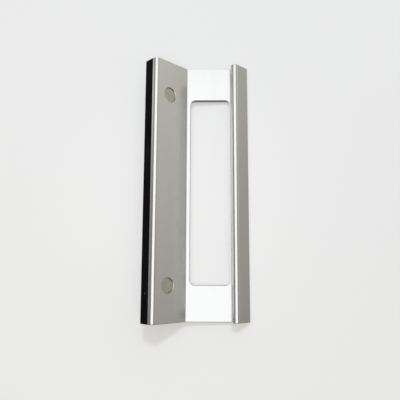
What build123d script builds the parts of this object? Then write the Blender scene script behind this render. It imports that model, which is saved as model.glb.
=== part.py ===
"""Fixed pull handle for a sliding door: a folded aluminium section on a rubber strip.

The section is one extruded piece. A flat flange is screwed to the door, a slanted web with a
finger window stands away from it, and a hooked lip closes the web. Two countersunk screws hold
the flange, and a plastic cap covers each of them.

The plane X = 0 is the face of the door, and +X points away from it. +Z runs up the handle, with
Z = 0 in the middle of its length. Y = 0 is the line of the screws. All sizes are millimetres.
"""

import os
from math import cos, radians, sin

from build123d import *

os.makedirs("parts", exist_ok=True)

# Overall
handle_length = 200.0
end_edge_break = 0.3

# Flange, which lies parallel to the door
flange_width = 32.2
flange_thickness = 4.6
flange_nose_radius = 3.2
screw_edge_distance = 14.3
screw_end_distance = 27.0

# Web, which leans away from the flange
web_width = 34.7
web_lean = 45.0
valley_radius = 0.8

# Upstand, square to the web, and the lip, parallel to the door
upstand_height = 13.8
lip_width = 19.6
fold_radius = 3.2
web_foot_radius = 0.3

# Wall of the web, the upstand and the lip
wall = 3.5
groove_radius = 0.5
corner_break = 0.5
back_bend_radius = 1.5

# Finger window in the web
window_end_distance = 27.0
window_side_margin = 2.9
window_corner_radius = 4.0
window_edge_break = 0.4

# Rubber strip between the flange and the door
strip_thickness = 8.5
strip_width = 28.6
strip_edge_radius = 0.4

# Caps, sunk below the face of the flange
cap_diameter = 11.2
cap_thickness = 1.3
cap_recess = 0.8
cap_edge_break = 0.2
cap_hollow_depth = 0.5
cap_rim_width = 1.3
cap_clearance = 0.1
recess_edge_break = 0.15

# Countersunk screws with a cross recess
thread_diameter = 5.0
neck_diameter = 4.4
neck_length = 1.5
head_diameter = 9.2
head_edge = 0.2
head_sink = 0.1
screw_length = 20.0
tip_chamfer = 0.7
drive_span = 4.6
drive_width = 1.0
drive_depth = 1.5
screw_hole_clearance = 0.25
strip_hole_clearance = 1.5
seat_clearance = 0.05

# Levels above the door
flange_back = strip_thickness
flange_front = flange_back + flange_thickness
recess_floor = flange_front - cap_recess - cap_thickness
head_top = recess_floor - head_sink

# Places along and across the handle
flange_edge = -screw_edge_distance
screw_height = handle_length / 2 - screw_end_distance
screw_places = {"top": screw_height, "bottom": -screw_height}

# Radii of the holes, from what passes through them and its clearance
recess_radius = cap_diameter / 2 + cap_clearance
screw_hole_radius = thread_diameter / 2 + screw_hole_clearance
strip_hole_radius = thread_diameter / 2 + strip_hole_clearance
countersink_radius = head_diameter / 2 + head_edge + head_sink + seat_clearance

# Directions of the web in the section: up the slope, and out of its front face
slope_x = sin(radians(web_lean))
slope_y = cos(radians(web_lean))


def on_web(across, out):
    """Point of the section, measured from the valley up the slope and out of the web's face."""
    x = flange_front + across * slope_x + out * slope_y
    y = flange_edge + flange_width + across * slope_y - out * slope_x
    return (x, y)


# Corners of the section, before they are rounded
nose = (flange_front, flange_edge)
nose_back = (flange_back, flange_edge)
valley = on_web(0, 0)
web_foot = on_web(web_width, 0)
fold = on_web(web_width, upstand_height)
lip_tip = (fold[0], fold[1] + lip_width)
lip_tip_back = (fold[0] - wall, fold[1] + lip_width)
web_back_corner = on_web(web_width + wall, -wall)

# The groove's top is where the back of the lip meets the back of the upstand
groove_rise = (lip_tip_back[0] - web_back_corner[0]) / slope_y
groove_top = on_web(web_width + wall, groove_rise - wall)

# The back bend is where the back of the web meets the back of the flange
back_run = (flange_back - on_web(0, -wall)[0]) / slope_x
back_bend = on_web(back_run, -wall)

rounded_corners = (
    (nose, flange_nose_radius),
    (nose_back, corner_break),
    (valley, valley_radius),
    (web_foot, web_foot_radius),
    (fold, fold_radius),
    (lip_tip, corner_break),
    (lip_tip_back, corner_break),
    (groove_top, groove_radius),
    (web_back_corner, corner_break),
    (back_bend, back_bend_radius),
)

# Finger window, from the side margin to the foot of the upstand
window_width = web_width - web_foot_radius - window_side_margin
window_length = handle_length - 2 * window_end_distance
window_centre = on_web(window_side_margin + window_width / 2, 0)
window_plane = Plane(
    origin=(window_centre[0], window_centre[1], 0),
    x_dir=(slope_x, slope_y, 0),
    z_dir=(slope_y, -slope_x, 0),
)
window_break_plane = window_plane.offset(-window_edge_break)


def facing_out(level, height):
    """Plane on the line of the screws, at a level above the door, facing away from the door."""
    return Plane(origin=(level, 0, height), x_dir=(0, 1, 0), z_dir=(1, 0, 0))


def along_screw(height):
    """Plane through a screw's axis: its x is the level above the door, its y the radius."""
    return Plane(origin=(0, 0, height), x_dir=(1, 0, 0), z_dir=(0, -1, 0))


# Aluminium section
with BuildPart() as grip_profile:
    with BuildSketch(Plane.XY) as section:
        with BuildLine():
            Polyline(
                nose_back,
                nose,
                valley,
                web_foot,
                fold,
                lip_tip,
                lip_tip_back,
                groove_top,
                web_back_corner,
                back_bend,
                close=True,
            )
        make_face()
        for corner, radius in rounded_corners:
            fillet(section.vertices().sort_by_distance(corner)[0], radius)
    extrude(amount=handle_length / 2, both=True)
    ends = grip_profile.faces().filter_by(Axis.Z)
    chamfer(ends.edges(), end_edge_break)

    with BuildSketch(window_plane):
        RectangleRounded(window_width, window_length, window_corner_radius)
    extrude(amount=-2 * wall, mode=Mode.SUBTRACT)

    # The window's front edge is broken, except along the foot of the upstand
    with BuildSketch(window_plane):
        with Locations((-window_edge_break / 2, 0)):
            RectangleRounded(
                window_width + window_edge_break,
                window_length + 2 * window_edge_break,
                window_corner_radius + window_edge_break,
            )
    with BuildSketch(window_break_plane):
        RectangleRounded(window_width, window_length, window_corner_radius)
    loft(ruled=True, mode=Mode.SUBTRACT)

    for height in screw_places.values():
        with Locations(facing_out(flange_front, height)):
            CounterSinkHole(
                recess_radius,
                recess_radius + recess_edge_break,
                depth=flange_front - recess_floor,
                counter_sink_angle=90,
            )
        with Locations(facing_out(recess_floor, height)):
            CounterSinkHole(screw_hole_radius, countersink_radius, counter_sink_angle=90)
grip_profile.part.label = "grip_profile"
export_step(grip_profile.part, "parts/grip_profile.step")

# Rubber strip, flush with the outer edge of the flange
with BuildPart() as backing_strip:
    with BuildSketch(Plane.XY):
        with Locations((strip_thickness / 2, flange_edge + strip_width / 2)):
            Rectangle(strip_thickness, strip_width)
    extrude(amount=handle_length / 2, both=True)
    fillet(backing_strip.edges().filter_by(Axis.Z), strip_edge_radius)
    for height in screw_places.values():
        with Locations(facing_out(flange_back, height)):
            Hole(strip_hole_radius)
backing_strip.part.label = "backing_strip"
export_step(backing_strip.part, "parts/backing_strip.step")

# Caps, which stand on the floor of their recess and are hollow over the screw's head
for end, height in screw_places.items():
    with BuildPart() as cap:
        with BuildSketch(facing_out(recess_floor, height)):
            Circle(cap_diameter / 2)
        extrude(amount=cap_thickness)
        chamfer(cap.edges().sort_by(Axis.X)[-1], cap_edge_break)
        with BuildSketch(facing_out(recess_floor, height)):
            Circle(cap_diameter / 2 - cap_rim_width)
        extrude(amount=cap_hollow_depth, mode=Mode.SUBTRACT)
    cap.part.label = f"cap_{end}"
    export_step(cap.part, f"parts/cap_{end}.step")

# Screws, which pass through the flange and the strip into the door
head_radius = head_diameter / 2
neck_radius = neck_diameter / 2
thread_radius = thread_diameter / 2
head_height = head_edge + head_radius - neck_radius
thread_start = head_top - head_height - neck_length
screw_tip = head_top - screw_length

for end, height in screw_places.items():
    with BuildPart() as screw:
        with BuildSketch(along_screw(height)):
            with BuildLine():
                Polyline(
                    (head_top, 0),
                    (head_top, head_radius),
                    (head_top - head_edge, head_radius),
                    (head_top - head_height, neck_radius),
                    (thread_start, neck_radius),
                    (thread_start, thread_radius),
                    (screw_tip + tip_chamfer, thread_radius),
                    (screw_tip, thread_radius - tip_chamfer),
                    (screw_tip, 0),
                    close=True,
                )
            make_face()
        revolve(axis=Axis((0, 0, height), (1, 0, 0)))
        with BuildSketch(facing_out(head_top, height)):
            Rectangle(drive_span, drive_width)
            Rectangle(drive_width, drive_span)
        extrude(amount=-drive_depth, mode=Mode.SUBTRACT)
    screw.part.label = f"screw_{end}"
    export_step(screw.part, f"parts/screw_{end}.step")
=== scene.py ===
"""Looks of a sliding door pull handle: satin aluminium section, rubber strip, caps and screws."""

from math import cos, pi, radians, sin, sqrt

import bmesh
import bpy
from mathutils import Euler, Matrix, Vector


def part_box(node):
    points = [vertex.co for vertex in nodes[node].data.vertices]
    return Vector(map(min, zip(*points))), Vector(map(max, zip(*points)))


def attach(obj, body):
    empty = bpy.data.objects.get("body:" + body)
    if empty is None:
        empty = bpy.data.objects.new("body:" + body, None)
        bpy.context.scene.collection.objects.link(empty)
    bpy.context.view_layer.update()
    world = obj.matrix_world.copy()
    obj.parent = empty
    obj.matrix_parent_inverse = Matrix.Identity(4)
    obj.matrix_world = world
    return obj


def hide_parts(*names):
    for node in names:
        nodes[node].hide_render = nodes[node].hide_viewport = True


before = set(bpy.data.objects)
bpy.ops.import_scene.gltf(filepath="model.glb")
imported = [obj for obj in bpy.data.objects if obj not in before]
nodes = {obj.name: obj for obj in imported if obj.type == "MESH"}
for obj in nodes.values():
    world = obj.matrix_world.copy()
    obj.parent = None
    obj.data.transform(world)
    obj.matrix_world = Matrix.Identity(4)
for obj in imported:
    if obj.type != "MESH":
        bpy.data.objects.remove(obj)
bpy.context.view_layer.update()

MM = 0.001
WHITE = (1, 1, 1, 1)

# Directions of the slanted web: across it, out of its face towards the camera, and up
ACROSS = Vector((sqrt(0.5), sqrt(0.5), 0))
OUT = Vector((sqrt(0.5), -sqrt(0.5), 0))
UP = Vector((0, 0, 1))

# Camera, fitted to the corners of the handle in the photograph
CAMERA_PLACE = Vector((0.27123, -0.21875, -0.06345))
CAMERA_TURN = Euler((radians(99.026), radians(-0.197), radians(45.724)))
CAMERA_LENS = 41.04
CAMERA_CLIP_START = 0.01
SENSOR_WIDTH = 36.0

# Colours, each from the darkest to the lightest place of its material
ANODISED_COLOURS = (0.625, 0.625, 0.62, 1), (0.68, 0.68, 0.675, 1)
# The sawn colours are darker partly as bare metal and partly as painted shade on the ends, broken edges
# and window walls
SAWN_AND_SHADE_COLOURS = (0.43, 0.43, 0.42, 1), (0.60, 0.60, 0.59, 1)
RUBBER_COLOURS = (0.0005, 0.0005, 0.0005, 1), (0.006, 0.006, 0.006, 1)
RUBBER_PATCH_COLOUR = (0.014, 0.014, 0.015, 1)
SCUFF_COLOUR = (0.25, 0.25, 0.24, 1)
CAP_COLOURS = (0.488, 0.477, 0.414, 1), (0.53, 0.52, 0.456, 1)
ZINC_COLOURS = (0.50, 0.51, 0.53, 1), (0.62, 0.63, 0.64, 1)

# Roughness of each finish, and how much its lines, bands, marks, grain or cloud add to it
DRAWN_ROUGHNESS, LINES_ROUGHNESS, BANDS_ROUGHNESS = 0.155, 0.05, 0.04
SAWN_ROUGHNESS, MARKS_ROUGHNESS = 0.30, 0.12
RUBBER_ROUGHNESS, RUBBER_GRAIN_ROUGHNESS = 0.6, 0.2
CAP_ROUGHNESS, CAP_GRAIN_ROUGHNESS = 0.3, 0.15
ZINC_ROUGHNESS, ZINC_CLOUD_ROUGHNESS = 0.22, 0.15

# Depth of each finish's relief. On the drawn faces it is a share of that on the sawn ends.
ALUMINIUM_RELIEF = 0.02 * MM
DRAWN_RELIEF_SHARE = 0.2
RUBBER_RELIEF = 0.04 * MM
CAP_RELIEF = 0.01 * MM
ZINC_RELIEF = 0.006 * MM

# Scales of the object's coordinates, which draw a pattern out along the handle or a sawn end
DRAWN_STRETCH = (1, 1, 0.012)
ALUMINIUM_CLOUD_STRETCH = (1, 1, 0.5)
SAWN_STRETCH = (1, 0.06, 1)
RUBBER_LINES_STRETCH = (1, 1, 0.02)
PATCH_STRETCH = (1, 1, 0.4)
SCUFF_STRETCH = (1, 1, 0.5)

# How far a face turns up or down, between the drawn faces and the darker sawn ends, broken edges and
# window walls, which are partly bare metal and partly painted shade
SAWN_AND_SHADED_FROM, SAWN_AND_SHADED_TO = 0.55, 0.69

# Greyer patches of the rubber: the part of the noise that shows, and how much
PATCH_FROM, PATCH_TO = 0.5, 0.75
PATCH_SHARE = 0.5

# Shine of the rubber, and how metallic the caps look
RUBBER_SPECULAR = 0.04
CAP_METALLIC = 0.9

# Pale scuff on the side of the rubber strip, with its soft and uneven edge
SCUFF_PLACE = Vector((5.2, -14.3, -78.5)) * MM
SCUFF_INNER, SCUFF_OUTER = 0.4 * MM, 0.8 * MM
SCUFF_UNEVEN = 0.5 * MM
SCUFF_SHARE = 0.5

# Screw thread, inside the plain cylinder of the CAD screw
PITCH = 0.8 * MM
CREST_RADIUS = 2.5 * MM
THREAD_DEPTH = 0.433 * MM
CREST_FLAT = 0.05 * MM
FLANK = 0.25 * MM
NECK_RADIUS = 2.2 * MM
NECK_LENGTH = 1.5 * MM
CONE_FOOT = 2.6 * MM
TIP_CHAMFER = 0.7 * MM
RUN_OUT = 0.3 * MM
RINGS_A_PITCH = 12
RING_POINTS = 48
WELD_DISTANCE = 0.001 * MM

# Table behind the handle, which touches the strip and the foot of the web
TABLE_POINT = Vector((0.0, 0.0145, 0.0))
TABLE_TILT = radians(3.7)
TABLE_SIZE = 6.0
TABLE_COLOUR = (0.845, 0.84, 0.838, 1)

# The table's own light: its level near the handle and beyond, and its slope to the lower left
GLOW_SHARE = 0.5
GLOW_TINT = (1.0, 0.977, 0.928, 1)
GLOW_NEAR, GLOW_BEYOND = 0.87, 0.79
GLOW_NEAR_REACH, GLOW_BEYOND_REACH = 0.02, 0.13
GLOW_DIAGONAL = (sqrt(0.5), sqrt(0.5), 0)
GLOW_DIAGONAL_REACH = 0.15
GLOW_SLOPE = 0.045
FADE_START, FADE_END = 0.5, 1.6

# Lamps, which face a point in the middle of the handle
LAMP_AIM = Vector((0.024, 0.03, 0.0))
SOFTBOX_TINT = (0.98, 0.995, 1.01)
KEY_TINT = (0.87, 0.97, 1.15)

# Surroundings, as levels of light
PALE = 0.87
BEHIND = 0.75
BEHIND_LOW = 0.13
ROOM_LEFT = 0.28
ROOM_FRONT_LEFT = 0.337
ROOM_RIGHT = 0.523
ROOM_EDGE = 0.304
ROOM_EDGE_LOW = 0.337
ROOM_MIDDLE = 0.75
ROOM_BESIDE = 0.514
ROOM_FLOOR = 0.66
ROOM_CEILING = 1.82
BEHIND_SOFTBOX = 0.1
ROOM_TINT = (1.0, 0.987, 0.895, 1)
ROOM_TINT_LOW = (1.0, 0.938, 0.868, 1)

# Borders of the surroundings, each from one side to the other, as a ray's share of a direction
OUT_BACK_TO_FRONT = (-0.45, -0.12)
OUT_RIGHT_EDGE = (-0.16, 0.14)
OUT_LEFT_EDGE = (0.1, 0.5)
OUT_SIDE_TO_MIDDLE = (0.2, 0.6)
OUT_SOFTBOX_EDGE = (0.72, 0.92)
ACROSS_LEFT_TO_RIGHT = (-0.6, 0.5)
ACROSS_FAR_LEFT = (-0.97, -0.85)
UP_LOWER_TO_UPPER = (0.0, 0.2)
UP_BESIDE = (0.2, 0.4)
UP_FLOOR_TO_CEILING = (-0.5, 0.9)
UP_SHADED = (-0.42, -0.16)


class Shader:
    """Small helper that adds nodes to one material or world and links them."""

    def __init__(self, owner):
        owner.use_nodes = True
        self.tree = owner.node_tree
        self.tree.nodes.clear()

    def node(self, kind, **settings):
        """Adds a node and sets its attributes."""
        made = self.tree.nodes.new(kind)
        for name, value in settings.items():
            setattr(made, name, value)
        return made

    def wire(self, target, source):
        """Links an output to an input, or sets the input where the source is a plain value."""
        if isinstance(source, bpy.types.NodeSocket):
            self.tree.links.new(source, target)
        else:
            target.default_value = source

    def math(self, operation, a, b=0.0, c=0.0):
        made = self.node("ShaderNodeMath", operation=operation)
        for socket, value in zip(made.inputs, (a, b, c)):
            self.wire(socket, value)
        return made.outputs[0]

    def vector_math(self, operation, a, b=(0, 0, 0)):
        """Number that comes from one or two vectors, such as a length."""
        made = self.node("ShaderNodeVectorMath", operation=operation)
        self.wire(made.inputs[0], a)
        self.wire(made.inputs[1], tuple(b))
        return made.outputs["Value"]

    def ramp(self, value, low, high, to_low=0.0, to_high=1.0, kind="SMOOTHSTEP"):
        """Value between low and high, as a number from to_low to to_high."""
        made = self.node("ShaderNodeMapRange", interpolation_type=kind)
        for name, item in zip(("Value", "From Min", "From Max", "To Min", "To Max"),
                              (value, low, high, to_low, to_high)):
            self.wire(made.inputs[name], item)
        return made.outputs["Result"]

    def mix(self, factor, a, b, data="FLOAT"):
        made = self.node("ShaderNodeMix", data_type=data)
        used = [socket for socket in made.inputs if socket.enabled]
        for socket, item in zip(used, (factor, a, b)):
            self.wire(socket, item)
        return next(socket for socket in made.outputs if socket.enabled)

    def mix_colour(self, factor, a, b):
        return self.mix(factor, a, b, "RGBA")

    def stretched(self, scale=(1, 1, 1)):
        """Object coordinates in metres, scaled along each axis."""
        place = self.node("ShaderNodeTexCoord")
        mapping = self.node("ShaderNodeMapping")
        self.wire(mapping.inputs["Vector"], place.outputs["Object"])
        self.wire(mapping.inputs["Scale"], scale)
        return mapping.outputs["Vector"]

    def noise(self, vector, scale, detail, roughness):
        made = self.node("ShaderNodeTexNoise")
        self.wire(made.inputs["Vector"], vector)
        self.wire(made.inputs["Scale"], scale)
        self.wire(made.inputs["Detail"], detail)
        self.wire(made.inputs["Roughness"], roughness)
        return made.outputs["Fac"]

    def bump(self, height, distance):
        made = self.node("ShaderNodeBump")
        self.wire(made.inputs["Height"], height)
        self.wire(made.inputs["Distance"], distance)
        self.wire(made.inputs["Strength"], 1.0)
        return made.outputs["Normal"]

    def mix_shader(self, factor, first, second):
        made = self.node("ShaderNodeMixShader")
        self.wire(made.inputs["Fac"], factor)
        self.wire(made.inputs[1], first.outputs[0])
        self.wire(made.inputs[2], second.outputs[0])
        return made

    def surface(self, **inputs):
        """Ends a material in one principled shader. An input's name has _ for each space."""
        body = self.node("ShaderNodeBsdfPrincipled")
        for name, item in inputs.items():
            self.wire(body.inputs[name.replace("_", " ")], item)
        self.finish(body.outputs["BSDF"])

    def finish(self, shader, kind="ShaderNodeOutputMaterial"):
        out = self.node(kind)
        self.wire(out.inputs["Surface"], shader)


def anodised_aluminium():
    """Satin clear anodising over drawn aluminium: faint lines along the handle, and straight saw marks
    across its two sawn ends.
    The faces that turn up or down (the ends, broken edges and window walls) are darker, partly as bare
    metal and partly as painted shade."""
    material = bpy.data.materials.new("anodised_aluminium")
    s = Shader(material)
    along = s.stretched(DRAWN_STRETCH)
    lines = s.noise(along, scale=2600, detail=3.0, roughness=0.6)
    bands = s.noise(along, scale=420, detail=2.0, roughness=0.5)
    cloud = s.noise(s.stretched(ALUMINIUM_CLOUD_STRETCH), scale=45, detail=3.0, roughness=0.55)
    marks = s.noise(s.stretched(SAWN_STRETCH), scale=3400, detail=2.0, roughness=0.6)
    facing = s.node("ShaderNodeTexCoord").outputs["Normal"]
    # Faces that turn up or down, that is the sawn ends, broken edges and window walls, get a darker
    # colour: partly bare sawn metal, partly painted shade
    cut = s.ramp(s.math("ABSOLUTE", s.vector_math("DOT_PRODUCT", facing, UP)), SAWN_AND_SHADED_FROM, SAWN_AND_SHADED_TO)
    bright = s.mix_colour(cloud, *ANODISED_COLOURS)
    sawn_and_shade_colour = s.mix_colour(marks, *SAWN_AND_SHADE_COLOURS)
    drawn_rough = s.math("MULTIPLY_ADD", lines, LINES_ROUGHNESS, DRAWN_ROUGHNESS)
    drawn_rough = s.math("MULTIPLY_ADD", bands, BANDS_ROUGHNESS, drawn_rough)
    sawn_rough = s.math("MULTIPLY_ADD", marks, MARKS_ROUGHNESS, SAWN_ROUGHNESS)
    height = s.mix(cut, s.math("MULTIPLY", lines, DRAWN_RELIEF_SHARE), marks)
    s.surface(
        Base_Color=s.mix_colour(cut, bright, sawn_and_shade_colour),
        Metallic=1.0,
        Roughness=s.mix(cut, drawn_rough, sawn_rough),
        Normal=s.bump(height, ALUMINIUM_RELIEF),
    )
    return material


def black_rubber():
    """Matt black rubber with a fine grain, faint lines along the strip, slightly greyer
    patches and one pale scuff."""
    material = bpy.data.materials.new("black_rubber")
    s = Shader(material)
    grain = s.noise(s.stretched(), scale=2400, detail=3.0, roughness=0.6)
    lines = s.noise(s.stretched(RUBBER_LINES_STRETCH), scale=700, detail=2.0, roughness=0.6)
    cloud = s.noise(s.stretched(PATCH_STRETCH), scale=90, detail=4.0, roughness=0.6)

    # The scuff is longer than it is wide, so its place is stretched as its coordinates are
    centre = [place * scale for place, scale in zip(SCUFF_PLACE, SCUFF_STRETCH)]
    from_scuff = s.vector_math("DISTANCE", s.stretched(SCUFF_STRETCH), centre)
    uneven = s.math("MULTIPLY_ADD", grain, SCUFF_UNEVEN, from_scuff)
    scuff = s.ramp(uneven, SCUFF_INNER, SCUFF_OUTER, SCUFF_SHARE, 0.0)

    patches = s.ramp(cloud, PATCH_FROM, PATCH_TO, 0.0, PATCH_SHARE)
    rubber = s.mix_colour(patches, s.mix_colour(lines, *RUBBER_COLOURS), RUBBER_PATCH_COLOUR)
    s.surface(
        Base_Color=s.mix_colour(scuff, rubber, SCUFF_COLOUR),
        Roughness=s.math("MULTIPLY_ADD", grain, RUBBER_GRAIN_ROUGHNESS, RUBBER_ROUGHNESS),
        Specular_IOR_Level=RUBBER_SPECULAR,
        Normal=s.bump(grain, RUBBER_RELIEF),
    )
    return material


def cap_plastic():
    """Grey moulded plastic with a metallic look and a fine spark texture."""
    material = bpy.data.materials.new("cap_plastic")
    s = Shader(material)
    grain = s.noise(s.stretched(), scale=3200, detail=2.0, roughness=0.6)
    cloud = s.noise(s.stretched(), scale=160, detail=2.0, roughness=0.5)
    s.surface(
        Base_Color=s.mix_colour(cloud, *CAP_COLOURS),
        Metallic=CAP_METALLIC,
        Roughness=s.math("MULTIPLY_ADD", grain, CAP_GRAIN_ROUGHNESS, CAP_ROUGHNESS),
        Normal=s.bump(grain, CAP_RELIEF),
    )
    return material


def zinc_steel():
    """Bright zinc plating, slightly cloudy."""
    material = bpy.data.materials.new("zinc_steel")
    s = Shader(material)
    cloud = s.noise(s.stretched(), scale=700, detail=3.0, roughness=0.6)
    s.surface(
        Base_Color=s.mix_colour(cloud, *ZINC_COLOURS),
        Metallic=1.0,
        Roughness=s.math("MULTIPLY_ADD", cloud, ZINC_CLOUD_ROUGHNESS, ZINC_ROUGHNESS),
        Normal=s.bump(cloud, ZINC_RELIEF),
    )
    return material


def dress(node, material):
    """Gives a CAD node one material, in place of its own."""
    slots = nodes[node].data.materials
    slots.clear()
    slots.append(material)


cap_material = cap_plastic()
screw_material = zinc_steel()
dress("grip_profile", anodised_aluminium())
dress("backing_strip", black_rubber())
dress("cap_top", cap_material)
dress("cap_bottom", cap_material)


def screw_radius(x, turn, tip, end):
    """Radius of the screw at a level and an angle, between its tip and the end of its thread."""
    from_crest = abs((x / PITCH - turn) % 1.0 - 0.5) * PITCH
    depth = min(max((from_crest - CREST_FLAT) / FLANK, 0.0), 1.0) * THREAD_DEPTH
    outer = min(CREST_RADIUS, CREST_RADIUS - TIP_CHAMFER + (x - tip), NECK_RADIUS + (end - x))
    inner = NECK_RADIUS - (end - x) * THREAD_DEPTH / RUN_OUT
    return min(outer, max(CREST_RADIUS - depth, inner))


def thread_rings(mesh, tip, end, height):
    """Rings of points round the screw's axis, from its tip to the end of its thread."""
    count = round((end - tip) / PITCH * RINGS_A_PITCH)
    rings = []
    for step in range(count + 1):
        x = tip + (end - tip) * step / count
        ring = []
        for point in range(RING_POINTS):
            turn = point / RING_POINTS
            radius = screw_radius(x, turn, tip, end)
            angle = 2 * pi * turn
            ring.append(mesh.verts.new((x, radius * cos(angle), height + radius * sin(angle))))
        rings.append(ring)
    return rings


def threaded_screw(name, node):
    """Copy of a CAD screw whose plain shank becomes a real helical thread."""
    low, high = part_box(node)
    tip, height = low[0], (low[2] + high[2]) / 2
    neck_top = high[0] - CONE_FOOT
    thread_end = neck_top - NECK_LENGTH

    # The head stays, down to the middle of the neck
    mesh = bmesh.new()
    mesh.from_mesh(nodes[node].data)
    whole = mesh.verts[:] + mesh.edges[:] + mesh.faces[:]
    middle = ((neck_top + thread_end) / 2, 0, 0)
    bmesh.ops.bisect_plane(mesh, geom=whole, plane_co=middle, plane_no=(1, 0, 0), clear_inner=True)

    # Its seams are welded, so that the cut's rim is its only open edge
    bmesh.ops.remove_doubles(mesh, verts=mesh.verts[:], dist=WELD_DISTANCE)
    rim = [edge for edge in mesh.edges if edge.is_boundary]

    rings = thread_rings(mesh, tip, thread_end, height)
    for lower, upper in zip(rings, rings[1:]):
        for point in range(RING_POINTS):
            after = (point + 1) % RING_POINTS
            mesh.faces.new((lower[point], lower[after], upper[after], upper[point]))
    mesh.faces.new(rings[0])
    last = rings[-1]
    last_edges = [mesh.edges.get((last[i], last[(i + 1) % RING_POINTS])) for i in range(RING_POINTS)]
    bmesh.ops.bridge_loops(mesh, edges=rim + last_edges)
    bmesh.ops.recalc_face_normals(mesh, faces=mesh.faces[:])

    data = bpy.data.meshes.new(name)
    mesh.to_mesh(data)
    mesh.free()
    data.materials.clear()
    data.materials.append(screw_material)
    piece = bpy.data.objects.new(name, data)
    bpy.context.scene.collection.objects.link(piece)
    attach(piece, "root")
    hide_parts(node)


threaded_screw("threaded_screw_top", "screw_top")
threaded_screw("threaded_screw_bottom", "screw_bottom")


def table_white():
    """Pale table seen from its front only, so it hides nothing from behind, and fading into the
    pale background far from the handle. Half of its light is its own. There is more of it near
    the handle, which stands for the light that a pale table and its room pass to and fro, and a
    little more towards the lower left."""
    material = bpy.data.materials.new("table_white")
    s = Shader(material)
    back = s.node("ShaderNodeNewGeometry").outputs["Backfacing"]
    diffuse = s.node("ShaderNodeBsdfDiffuse")
    s.wire(diffuse.inputs["Color"], TABLE_COLOUR)

    place = s.stretched()
    away = s.vector_math("LENGTH", place)
    near = s.ramp(away, GLOW_NEAR_REACH, GLOW_BEYOND_REACH, GLOW_NEAR, GLOW_BEYOND)
    diagonal = s.vector_math("DOT_PRODUCT", place, GLOW_DIAGONAL)
    slope = s.ramp(diagonal, -GLOW_DIAGONAL_REACH, GLOW_DIAGONAL_REACH, GLOW_SLOPE, -GLOW_SLOPE, "LINEAR")
    glow = s.node("ShaderNodeEmission")
    s.wire(glow.inputs["Color"], GLOW_TINT)
    s.wire(glow.inputs["Strength"], s.math("ADD", near, slope))

    lit = s.mix_shader(GLOW_SHARE, diffuse, glow)
    clear = s.node("ShaderNodeBsdfTransparent")
    unseen = s.math("MAXIMUM", back, s.ramp(away, FADE_START, FADE_END))
    s.finish(s.mix_shader(unseen, lit, clear).outputs["Shader"])
    return material


def panel(name, centre, facing, size, material):
    """Square stage panel that faces a direction and is seen by the camera alone."""
    mesh = bpy.data.meshes.new(name)
    corners = [(-1, -1, 0), (1, -1, 0), (1, 1, 0), (-1, 1, 0)]
    mesh.from_pydata([Vector(c) * size / 2 for c in corners], [], [(0, 1, 2, 3)])
    mesh.materials.append(material)
    piece = bpy.data.objects.new(name, mesh)
    bpy.context.scene.collection.objects.link(piece)
    piece.rotation_euler = facing.to_track_quat("Z", "Y").to_euler()
    piece.location = centre
    piece.visible_diffuse = False
    piece.visible_glossy = False
    piece.visible_transmission = False
    piece.visible_shadow = False


table_normal = OUT * cos(TABLE_TILT) - ACROSS * sin(TABLE_TILT)
panel("table", TABLE_POINT, table_normal, TABLE_SIZE, table_white())


def raised(angle, sideways=0.0):
    """Direction from the handle, raised from the web's facing towards the top."""
    flat = OUT * cos(radians(sideways)) + ACROSS * sin(radians(sideways))
    return flat * cos(radians(angle)) + UP * sin(radians(angle))


def lamp(name, direction, distance, width, height, power, tint, glossy=True):
    """Area lamp at a distance from the handle's middle, facing it."""
    data = bpy.data.lights.new(name, "AREA")
    data.shape = "RECTANGLE"
    data.color = tint
    data.size = width
    data.size_y = height
    data.energy = power
    made = bpy.data.objects.new(name, data)
    bpy.context.scene.collection.objects.link(made)
    direction = direction.normalized()
    made.location = LAMP_AIM + direction * distance
    made.rotation_euler = direction.to_track_quat("Z", "Y").to_euler()
    made.visible_camera = False
    made.visible_glossy = glossy


lamp("softbox", raised(0, sideways=-3), distance=1.0, width=1.15, height=1.45, power=7.73,
     tint=SOFTBOX_TINT)
lamp("key", raised(28.4), distance=1.2, width=0.13, height=0.13, power=5.12,
     tint=KEY_TINT, glossy=False)


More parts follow.
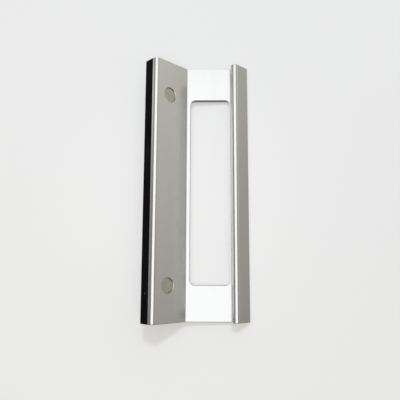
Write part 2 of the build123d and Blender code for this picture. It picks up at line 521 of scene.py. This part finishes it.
def room_level(s, out, across, high, upper):
    """Level of the room in front, dim on the left and lighter towards the top right."""
    edge = s.mix(upper, ROOM_EDGE_LOW, ROOM_EDGE)
    right = s.ramp(out, *OUT_RIGHT_EDGE, edge, ROOM_RIGHT)
    left = s.ramp(out, *OUT_LEFT_EDGE, ROOM_LEFT, ROOM_FRONT_LEFT)
    room = s.mix(s.ramp(across, *ACROSS_LEFT_TO_RIGHT), left, right)
    room = s.math("MULTIPLY", room, s.ramp(out, *OUT_SIDE_TO_MIDDLE, 1.0, ROOM_MIDDLE))
    far_left = s.ramp(across, *ACROSS_FAR_LEFT, 1.0, 0.0)
    beside = s.math("MULTIPLY", far_left, s.ramp(high, *UP_BESIDE))
    room = s.math("MULTIPLY_ADD", beside, ROOM_BESIDE, room)
    rise = s.ramp(high, *UP_FLOOR_TO_CEILING, ROOM_FLOOR, ROOM_CEILING, "LINEAR")
    past_softbox = s.ramp(out, *OUT_SOFTBOX_EDGE, 1.0, BEHIND_SOFTBOX)
    return s.math("MULTIPLY", s.math("MULTIPLY", room, rise), past_softbox)


def studio_world():
    """Soft surroundings. Behind the handle is the pale table, which the metal mirrors as the
    camera sees it, dark where the handle shades it. In front is the room. The camera itself
    sees a plain pale background."""
    world = bpy.data.worlds.new("studio")
    bpy.context.scene.world = world
    s = Shader(world)
    ray = s.node("ShaderNodeTexCoord").outputs["Generated"]
    out, across, high = (s.vector_math("DOT_PRODUCT", ray, way) for way in (OUT, ACROSS, UP))
    upper = s.ramp(high, *UP_LOWER_TO_UPPER)
    path = s.node("ShaderNodeLightPath").outputs
    mirrored = s.math("MAXIMUM", path["Is Glossy Ray"], path["Is Transmission Ray"])
    shade = s.ramp(high, *UP_SHADED, BEHIND_LOW, 1.0)
    behind = s.math("MULTIPLY", s.mix(mirrored, BEHIND, PALE), shade)
    in_front = s.ramp(out, *OUT_BACK_TO_FRONT)
    level = s.mix(in_front, behind, room_level(s, out, across, high, upper))
    tint = s.mix_colour(in_front, WHITE, s.mix_colour(upper, ROOM_TINT_LOW, ROOM_TINT))
    seen = path["Is Camera Ray"]
    background = s.node("ShaderNodeBackground")
    s.wire(background.inputs["Color"], s.mix_colour(seen, tint, WHITE))
    s.wire(background.inputs["Strength"], s.mix(seen, level, PALE))
    s.finish(background.outputs["Background"], "ShaderNodeOutputWorld")


studio_world()

camera_data = bpy.data.cameras.new("camera")
camera_data.lens = CAMERA_LENS
camera_data.sensor_width = SENSOR_WIDTH
camera_data.clip_start = CAMERA_CLIP_START
camera = bpy.data.objects.new("camera", camera_data)
camera.location = CAMERA_PLACE
camera.rotation_euler = CAMERA_TURN
bpy.context.scene.collection.objects.link(camera)
bpy.context.scene.camera = camera
bpy.context.scene.view_settings.view_transform = "Standard"
